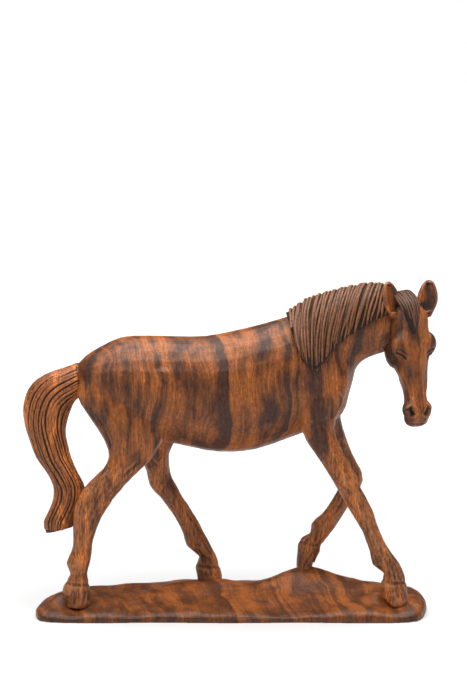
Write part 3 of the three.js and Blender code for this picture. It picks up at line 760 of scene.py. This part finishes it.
class Finish:
    """A material that is put together from nodes."""

    def __init__(self, name):
        self.material = bpy.data.materials.new(name)
        self.material.use_nodes = True
        self.nodes = self.material.node_tree.nodes
        self.links = self.material.node_tree.links
        self.shader = self.nodes["Principled BSDF"]

    def add(self, kind, settings=None, *inputs, out=0, **named):
        """A node: its settings, then what its sockets hold, in order or by name."""
        node = self.nodes.new(kind)
        for key, value in (settings or {}).items():
            setattr(node, key, value)
        by_name = [(name.replace("_", " "), value) for name, value in named.items()]
        for key, value in [*enumerate(inputs), *by_name]:
            self.feed(node.inputs[key], value)
        return Wire(self, node.outputs[out])

    def feed(self, socket, value):
        """Links a wire to a socket, or sets it to a value; None leaves it as it is."""
        if isinstance(value, Wire):
            self.links.new(value.socket, socket)
        elif value is not None:
            socket.default_value = value

    def noise(self, where, size, detail=2.0, stretch=(1, 1, 1), roughness=0.5):
        """Noise whose grain is about size millimetres, drawn out along some axes."""
        scale = [1 / (size * longer) for longer in stretch]
        scaled = self.add("ShaderNodeMapping", None, where, Scale=scale)
        return self.add(
            "ShaderNodeTexNoise", None, scaled, Scale=1.0, Detail=detail, Roughness=roughness
        )

    def between(self, value, low, high, to_low=0.0, to_high=1.0):
        """Goes softly from one result to another while the value goes from low to high."""
        settings = {"interpolation_type": "SMOOTHSTEP"}
        return self.add("ShaderNodeMapRange", settings, value, low, high, to_low, to_high)

    def blend(self, share, one, other, kind="MIX"):
        """One colour with a share of another; the five sockets between are not for colours."""
        settings = {"data_type": "RGBA", "blend_type": kind, "clamp_factor": True}
        return self.add("ShaderNodeMix", settings, share, *[None] * 5, one, other, out=2)


# Colours of the wood: pale sap bands, the common red-brown and the dark bands.
PALE, COMMON, DARK = (0.320, 0.092, 0.017), (0.160, 0.047, 0.011), (0.050, 0.017, 0.008)
# near black: the colour of the pores, and of the painted shade in hollows and grooves
PORE_AND_SHADE = (0.009, 0.0035, 0.0025)
EDGE_HIGHLIGHT = (0.42, 0.17, 0.065)  # painted highlight on ridges and edges
RING_WAY = (0.954, 0.300, 0.0)  # across the growth rings
ALONG = 14  # streaks are this many times as long as they are wide
# How wide the wood's figure is, in millimetres.
BAND, RING, PATCH, STREAK, FIBRE, PORE, MOTTLE = 11, 1.7, 12, 0.8, 0.36, 0.55, 1.8
BEND, BEND_LENGTH = 22, 30  # how far the rings wander, and over what length
SPREAD = (0.32, 0.68)  # most of a noise lies between these


def wood(name, light, warmth, darkness, streaky, gloss, relief):
    """Varnished wood with its grain upright. The light is two heights and how pale the wood is at
    each, the warmth is how much the pale bands show, and the darkness how much the dark ones do."""
    finish = Finish(name)
    place = finish.add("ShaderNodeTexCoord", out="Object")
    mm = finish.add("ShaderNodeVectorMath", {"operation": "SCALE"}, place, Scale=1 / MM)
    dot = {"operation": "DOT_PRODUCT"}
    across = finish.add("ShaderNodeVectorMath", dot, mm, RING_WAY, out="Value")
    ring = across + finish.noise(mm, BEND_LENGTH, 2, (1, 1, 1.8)) * BEND
    one_way = {"noise_dimensions": "1D"}
    bands = finish.add("ShaderNodeTexNoise", one_way, W=ring * (1 / BAND), Scale=1.0, Detail=2.0)
    rings = finish.add("ShaderNodeTexNoise", one_way, W=ring * (1 / RING), Scale=1.0, Detail=2.0)
    patches = finish.noise(mm, PATCH, 2, (1, 1, 2.2))
    streaks = finish.noise(mm, STREAK, 3, (1, 1, ALONG), 0.6)
    fibres = finish.noise(mm, FIBRE, 2, (1, 1, ALONG * 1.6), 0.6)
    pores = finish.between(finish.noise(mm, PORE, 1, (1, 1, 9)), 0.64, 0.72)
    mottle = finish.noise(mm, MOTTLE, 4, (1, 1, 1.6), 0.7)

    tone = bands * 0.55 + patches * 0.45
    pale = finish.between(tone, 0.47, 0.62)
    dark = finish.between(tone, 0.52, 0.415)
    colour = finish.blend(pale * warmth, (*COMMON, 1), (*PALE, 1))
    colour = finish.blend(dark * darkness, colour, (*DARK, 1))
    # paler or darker with height: on the horse the legs' paler tone, on the plinth painted shade
    # low on its front and a painted highlight on its top
    level = finish.add("ShaderNodeSeparateXYZ", None, mm, out="Z")
    shade = finish.between(rings, 0.35, 0.65, 0.8, 1.15) * finish.between(level, *light)
    shade = shade * finish.between(streaks, *SPREAD, 1 - streaky, 1 + streaky * 1.15)
    shade = shade * finish.between(fibres, *SPREAD, 1 - streaky * 0.6, 1 + streaky * 0.6)
    shade = shade * finish.between(mottle, *SPREAD, 0.86, 1.14)
    grey = finish.add("ShaderNodeCombineColor", None, shade, shade, shade)
    colour = finish.blend(1.0, colour, grey, "MULTIPLY")
    colour = finish.blend(pores * 0.75, colour, (*PORE_AND_SHADE, 1))
    # painted highlight on ridges and edges, broken up by the mottle
    edge_highlight = finish.add("ShaderNodeAttribute", {"attribute_name": "edge_highlight"}, out="Fac")
    wear_and_highlight = edge_highlight * finish.between(mottle, 0.3, 0.6, 0.25, 0.9)
    colour = finish.blend(wear_and_highlight, colour, (*EDGE_HIGHLIGHT, 1))
    # painted shade in hollows and grooves, and the darker tone of the hair
    shade_and_stain = finish.add("ShaderNodeAttribute", {"attribute_name": "shade_and_stain"}, out="Fac")
    shaded_share = finish.between(shade_and_stain + (mottle - 0.5) * 0.5, 0.1, 0.9)
    colour = finish.blend(shaded_share * 0.93, colour, (*PORE_AND_SHADE, 1))
    finish.feed(finish.shader.inputs["Base Color"], colour)

    rough = gloss + mottle * 0.2 + shade_and_stain * 0.25 + pores * 0.1 - 0.1
    finish.feed(finish.shader.inputs["Roughness"], rough)
    finish.feed(finish.shader.inputs["Coat Weight"], finish.between(mottle, 0.35, 0.65, 0.05, 0.35))
    finish.feed(finish.shader.inputs["Coat Roughness"], 0.5)
    finish.feed(finish.shader.inputs["Specular IOR Level"], 0.25)
    height = streaks * 0.55 + fibres * 0.25 + mottle * 0.6 - pores * 0.6
    bump = finish.add("ShaderNodeBump", None, Strength=relief, Distance=0.35 * MM, Height=height)
    finish.feed(finish.shader.inputs["Normal"], bump)
    return finish.material


HORSE = (100, 150, 1.4, 1.03)  # the legs are paler than the trunk
MANE_LIGHT, TAIL_LIGHT = (0, 1, 0.75, 0.75), (0, 1, 1.6, 1.6)  # the same all the way up
POLISHED = wood("polished_wood", HORSE, 0.95, 0.97, 0.22, 0.46, 0.35)
CHISELLED = wood("chiselled_wood", HORSE, 0.95, 0.7, 0.6, 0.44, 1.0)
# the plinth: painted shade low on its front face and a painted highlight on its top
PLINTH_WOOD = wood("plinth_wood", (3, 12, 0.72, 1.3), 0.8, 0.6, 0.2, 0.42, 0.5)
MANE_WOOD = wood("grooved_wood", MANE_LIGHT, 0.2, 0.5, 0.4, 0.46, 0.5)
TAIL_WOOD = wood("grooved_pale_wood", TAIL_LIGHT, 1.1, 0.05, 0.4, 0.46, 0.5)


# ---- Pieces ---------------------------------------------------------------------------------
def show(mesh, region, finish):
    """Puts a carved piece in the place of a region of the frame."""
    piece = placed("carved_" + region, mesh)
    mesh.materials.append(finish)
    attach(piece, "root")
    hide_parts(region)


def without_crumbs(mesh, whose):
    """Gives each small patch that is cut off from the rest of its region to the region round it."""
    edges = np.empty(len(mesh.loops), np.int32)
    mesh.loops.foreach_get("edge_index", edges)
    order = np.argsort(edges, kind="stable")
    twins = edges[order[:-1]] == edges[order[1:]]
    a, b = order[:-1][twins] // 4, order[1:][twins] // 4
    for _ in range(3):
        same = whose[a] == whose[b]
        patch = np.arange(len(whose))
        while True:
            lowest = patch.copy()
            np.minimum.at(lowest, a[same], patch[b[same]])
            np.minimum.at(lowest, b[same], patch[a[same]])
            lowest = lowest[lowest]
            if (lowest == patch).all():
                break
            patch = lowest
        size = np.bincount(patch, minlength=len(whose))[patch]
        largest = np.zeros(whose.max() + 1, int)
        np.maximum.at(largest, whose, size)
        crumb = size < largest[whose]
        if not crumb.any():
            break
        for one, other in ((a, b), (b, a)):
            take = crumb[one] & ~crumb[other]
            beside = dict(zip(patch[one[take]].tolist(), whose[other[take]].tolist()))
            for number, region in beside.items():
                whose[patch == number] = region
                crumb[patch == number] = False
    return whose


def close_cuts(part):
    """Fills the openings where the block was divided; each cap is turned as its rim asks."""
    rim = [edge for edge in part.edges if edge.is_boundary]
    if not rim:
        return
    skin = set(part.faces)
    bmesh.ops.holes_fill(part, edges=rim, sides=0)
    waiting = set(part.faces) - skin
    ready = {face for edge in rim for face in edge.link_faces} - waiting
    while ready:
        coming = set()
        for face in ready:
            for loop in face.loops:
                for other in loop.edge.link_loops:
                    if other.face in waiting:
                        if other.vert == loop.vert:
                            other.face.normal_flip()
                        waiting.remove(other.face)
                        coming.add(other.face)
        ready = coming
    caps = [face for face in part.faces if len(face.verts) > 4]
    bmesh.ops.triangulate(part, faces=caps)


def divide(carved, finishes):
    """Splits a skin by the region of the frame that each face is nearest to, one piece for each.
    Every piece is closed at its cuts, and keeps the shading of the whole skin."""
    points, faces, owner = [], [], []
    for index, name in enumerate(finishes):
        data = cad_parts[name].data
        start = len(points)
        points += [v.co / MM for v in data.vertices]
        faces += [[start + i for i in polygon.vertices] for polygon in data.polygons]
        owner += [index] * len(data.polygons)
    tree = BVHTree.FromPolygons(points, faces)
    middles = carved.at[carved.faces].mean(1)
    whose = np.array([owner[tree.find_nearest(Vector(m))[2]] for m in middles.tolist()])
    whose = without_crumbs(carved.mesh, whose)
    for index, (name, finish) in enumerate(finishes.items()):
        part = bmesh.new()
        part.from_mesh(carved.mesh)
        part.faces.ensure_lookup_table()
        number = part.verts.layers.int.new("number")
        for i, vert in enumerate(part.verts):
            vert[number] = i
        others = [part.faces[i] for i in np.flatnonzero(whose != index)]
        bmesh.ops.delete(part, geom=others, context="FACES")
        close_cuts(part)
        kept = np.array([vert[number] for vert in part.verts])
        mesh = bpy.data.meshes.new("carved_" + name)
        part.to_mesh(mesh)
        part.free()
        finish_mesh(mesh, carved.shade_and_stain[kept], carved.edge_highlight[kept], carved.out[kept])
        show(mesh, name, finish)


def finish_mesh(mesh, shade_and_stain, edge_highlight, normals=None):
    """Smooth shading, and the painted shade (with the hair's darker tone) and the painted highlight
    that the finishes read.
    """
    mesh.shade_smooth()
    for name, values in (("shade_and_stain", shade_and_stain), ("edge_highlight", edge_highlight)):
        layer = mesh.attributes.new(name, "FLOAT", "POINT")
        layer.data.foreach_set("value", values.astype(np.float32))
    if normals is not None:
        mesh.normals_split_custom_set_from_vertices(normals.tolist())


divide(body, {name: POLISHED for name in TRUNK} | {name: CHISELLED for name in LEG_REGIONS})
divide(head, {name: POLISHED for name in HEAD_REGIONS})
for name, carved, finish in (
    ("mane", mane, MANE_WOOD), ("forelock", forelock, MANE_WOOD), ("tail", tail, TAIL_WOOD),
):
    finish_mesh(carved.mesh, carved.shade_and_stain, carved.edge_highlight)
    show(carved.mesh, name, finish)
finish_mesh(plinth.mesh, plinth.shade_and_stain, plinth.edge_highlight)
show(plinth.mesh, "plinth", PLINTH_WOOD)


# ---- Studio ---------------------------------------------------------------------------------
FLOOR_HALF = 90  # metres


def studio_floor():
    """A white floor without an end. It gives off a little light of its own far behind the figure,
    where the lamps no longer reach it."""
    sheet = bmesh.new()
    bmesh.ops.create_grid(sheet, x_segments=1, y_segments=1, size=FLOOR_HALF)
    mesh = bpy.data.meshes.new("floor")
    sheet.to_mesh(mesh)
    sheet.free()
    floor = placed("floor", mesh)
    paper = Finish("white_paper")
    place = paper.add("ShaderNodeTexCoord", out="Object")
    away = paper.add("ShaderNodeVectorMath", {"operation": "LENGTH"}, place, out="Value")
    dot = {"operation": "DOT_PRODUCT"}
    back = paper.add("ShaderNodeVectorMath", dot, place, (0, 1, 0), out="Value")
    glow = paper.between(away, 0.2, 1.1, 0.3, 0.97) * paper.between(back, -0.9, -0.3, 0.5, 1.0)
    paper.feed(paper.shader.inputs["Base Color"], (0.5, 0.5, 0.5, 1))
    paper.feed(paper.shader.inputs["Roughness"], 0.9)
    paper.feed(paper.shader.inputs["Specular IOR Level"], 0.0)
    paper.feed(paper.shader.inputs["Emission Strength"], 1.0)
    grey = paper.add("ShaderNodeCombineColor", None, glow, glow, glow)
    paper.feed(paper.shader.inputs["Emission Color"], grey)
    mesh.materials.append(paper.material)


def softbox(name, place, aim, size, power):
    """A rectangular lamp that looks from one place to another; metres and watts."""
    light = bpy.data.lights.new(name, "AREA")
    light.shape = "RECTANGLE"
    light.size, light.size_y = size
    light.energy = power
    lamp = placed(name, light)
    lamp.location = place
    lamp.rotation_euler = (Vector(aim) - Vector(place)).to_track_quat("-Z", "Y").to_euler()


studio_floor()
softbox("above", (0.0, -0.1, 1.0), (0, -0.02, 0.1), (1.5, 1.1), 26)
softbox("left", (-0.9, -0.45, 0.55), (0, 0, 0.12), (0.35, 0.5), 0.8)
softbox("right", (0.9, -0.4, 0.55), (0, 0, 0.12), (0.35, 0.5), 0.5)

world = bpy.data.worlds.new("studio")
world.use_nodes = True
backdrop = world.node_tree.nodes["Background"]
backdrop.inputs["Color"].default_value = (1, 1, 1, 1)
backdrop.inputs["Strength"].default_value = 0.06
bpy.context.scene.world = world
bpy.context.scene.view_settings.view_transform = "Standard"

LOOKS_DOWN = 9.585  # degrees
lens = bpy.data.cameras.new("camera")
lens.lens = 111.95
lens.sensor_width = 36
camera = placed("camera", lens)
camera.location = (0, -1.565, 0.4577)
camera.rotation_euler = (math.radians(90 - LOOKS_DOWN), 0, 0)
bpy.context.scene.camera = camera
